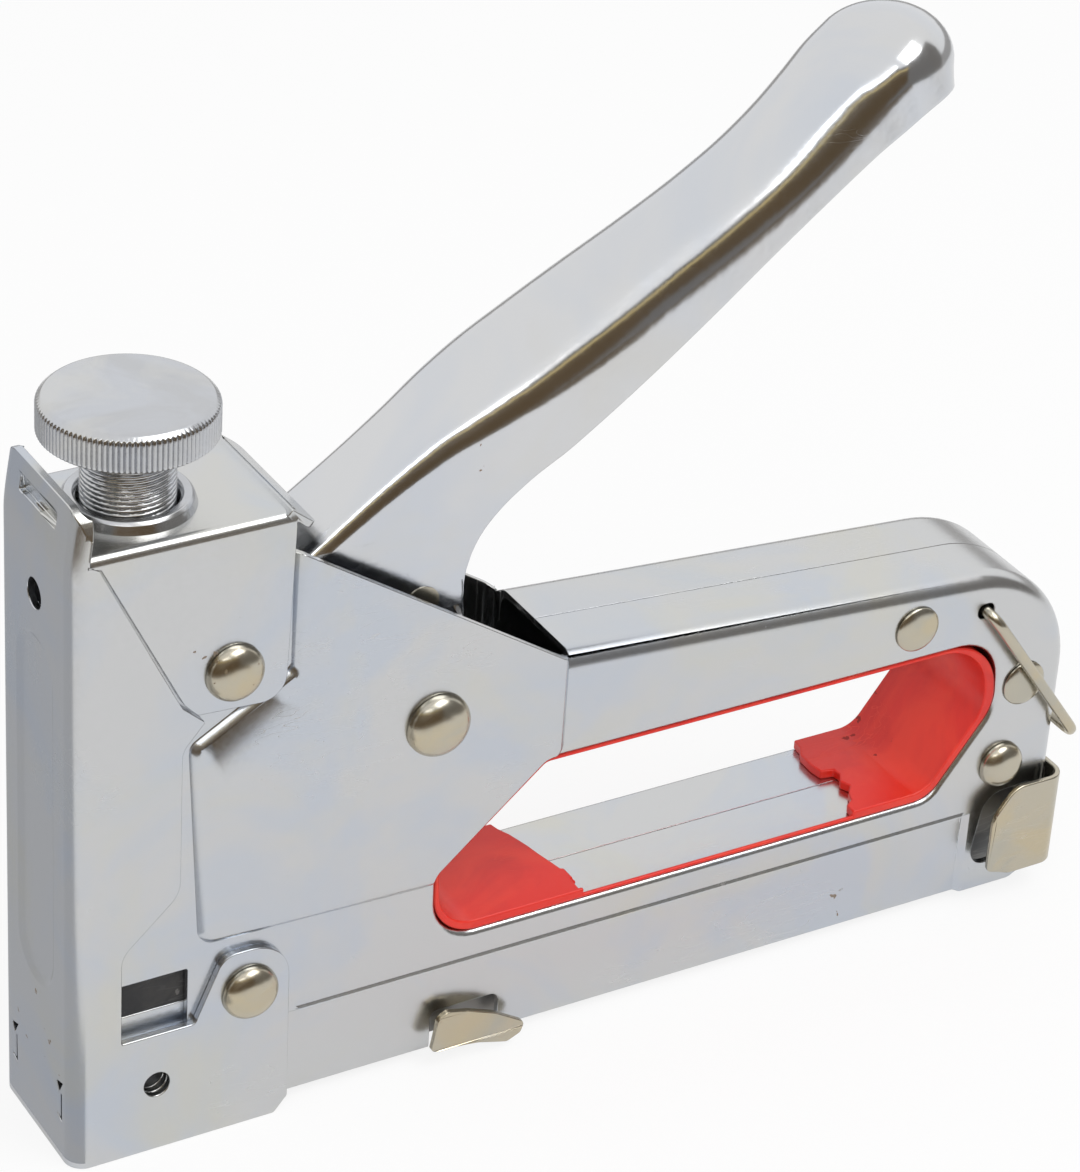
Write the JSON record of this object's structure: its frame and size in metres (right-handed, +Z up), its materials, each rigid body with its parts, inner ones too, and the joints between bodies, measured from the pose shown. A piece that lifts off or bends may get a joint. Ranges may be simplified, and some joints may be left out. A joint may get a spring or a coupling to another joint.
{
  "type": "staple gun",
  "caption": "Lever-operated hand staple gun with pressed steel body, lined grip opening, power adjusting knob, staple magazine with rear latch and handle-locking bail.",
  "frame": {"origin": "middle of the bounding box's base, on the plane of the nose's foot", "axes": "+X from the nose to the rear of the magazine, +Y across the body away from the near side, +Z up from the foot to the adjusting knob"},
  "size_m": [0.1788, 0.0312, 0.1584],
  "materials": {
    "zinc_sheet": "zinc-plated pressed sheet, satin",
    "handle_chrome": "bright plated sheet",
    "knob_chrome": "bright plated, fine straight knurl on the rim",
    "nickel": "warm nickel-plated, polished",
    "inner_steel": "oiled plain steel",
    "spring_steel": "drawn spring wire",
    "red_plastic": "satin moulded plastic",
    "black_rubber": "matt"
  },
  "bodies": {
    "body": {"body_shell_left": "zinc_sheet", "body_shell_right": "zinc_sheet", "front_cover": "zinc_sheet", "top_cap": "zinc_sheet", "threaded_bush": "nickel", "cap_rivets": "nickel", "front_rivets": "nickel", "rear_rivets": "nickel", "handle_pivot_pin": "nickel", "grip_liner": "red_plastic", "bumper_block": "black_rubber", "nose_guide": "inner_steel", "magazine_channel": "inner_steel", "staple_rail": "inner_steel", "rail_clip": "nickel", "handle_return_spring": "spring_steel"},
    "lever": {"lever_handle": "handle_chrome", "lifting_arm": "inner_steel", "arm_rivet": "nickel"},
    "driver": {"driver_carriage": "inner_steel", "driver_blade": "inner_steel", "main_spring": "spring_steel"},
    "seat": {"spring_seat": "inner_steel"},
    "knob": {"adjusting_knob": "knob_chrome"},
    "latch": {"rear_latch": "nickel", "push_rod": "spring_steel", "pusher_spring": "spring_steel"},
    "pusher": {"pusher": "inner_steel"},
    "bail": {"bail": "nickel"}
  },
  "joints": [
    {"name": "handle_squeeze", "type": "hinge", "parent": "body", "child": "lever", "pos_m": [-0.0311, 0, 0.0635], "axis": [0, 1, 0], "range_deg": [0, 46], "stiffness_Nm_per_rad": 0.6, "springref_deg": -20.05},
    {"name": "driver_lift", "type": "slide", "parent": "body", "child": "driver", "axis": [0, 0, 1], "range_m": [0, 0.0211], "deforming": ["main_spring"]},
    {"name": "seat_lift", "type": "slide", "parent": "body", "child": "seat", "axis": [0, 0, 1], "range_m": [0, 0.008]},
    {"name": "knob_turn", "type": "hinge", "parent": "seat", "child": "knob", "pos_m": [-0.0752, 0, 0.1], "axis": [0, 0, 1], "range_deg": [0, 1921]},
    {"name": "latch_pull", "type": "slide", "parent": "body", "child": "latch", "axis": [1, 0, 0], "range_m": [0, 0.12]},
    {"name": "pusher_feed", "type": "slide", "parent": "latch", "child": "pusher", "axis": [1, 0, 0], "range_m": [0, 0.08], "stiffness_N_per_m": 30, "springref_m": -0.05, "deforming": ["pusher_spring"]},
    {"name": "bail_swing", "type": "hinge", "parent": "body", "child": "bail", "pos_m": [0.0687, 0, 0.0564], "axis": [0, -1, 0], "range_deg": [0, 216]}
  ],
  "couplings": [
    {"joint": "driver_lift", "follows": "handle_squeeze", "m_per_rad": 0.026244},
    {"joint": "knob_turn", "follows": "seat_lift", "rad_per_m": 4188.8}
  ]
}
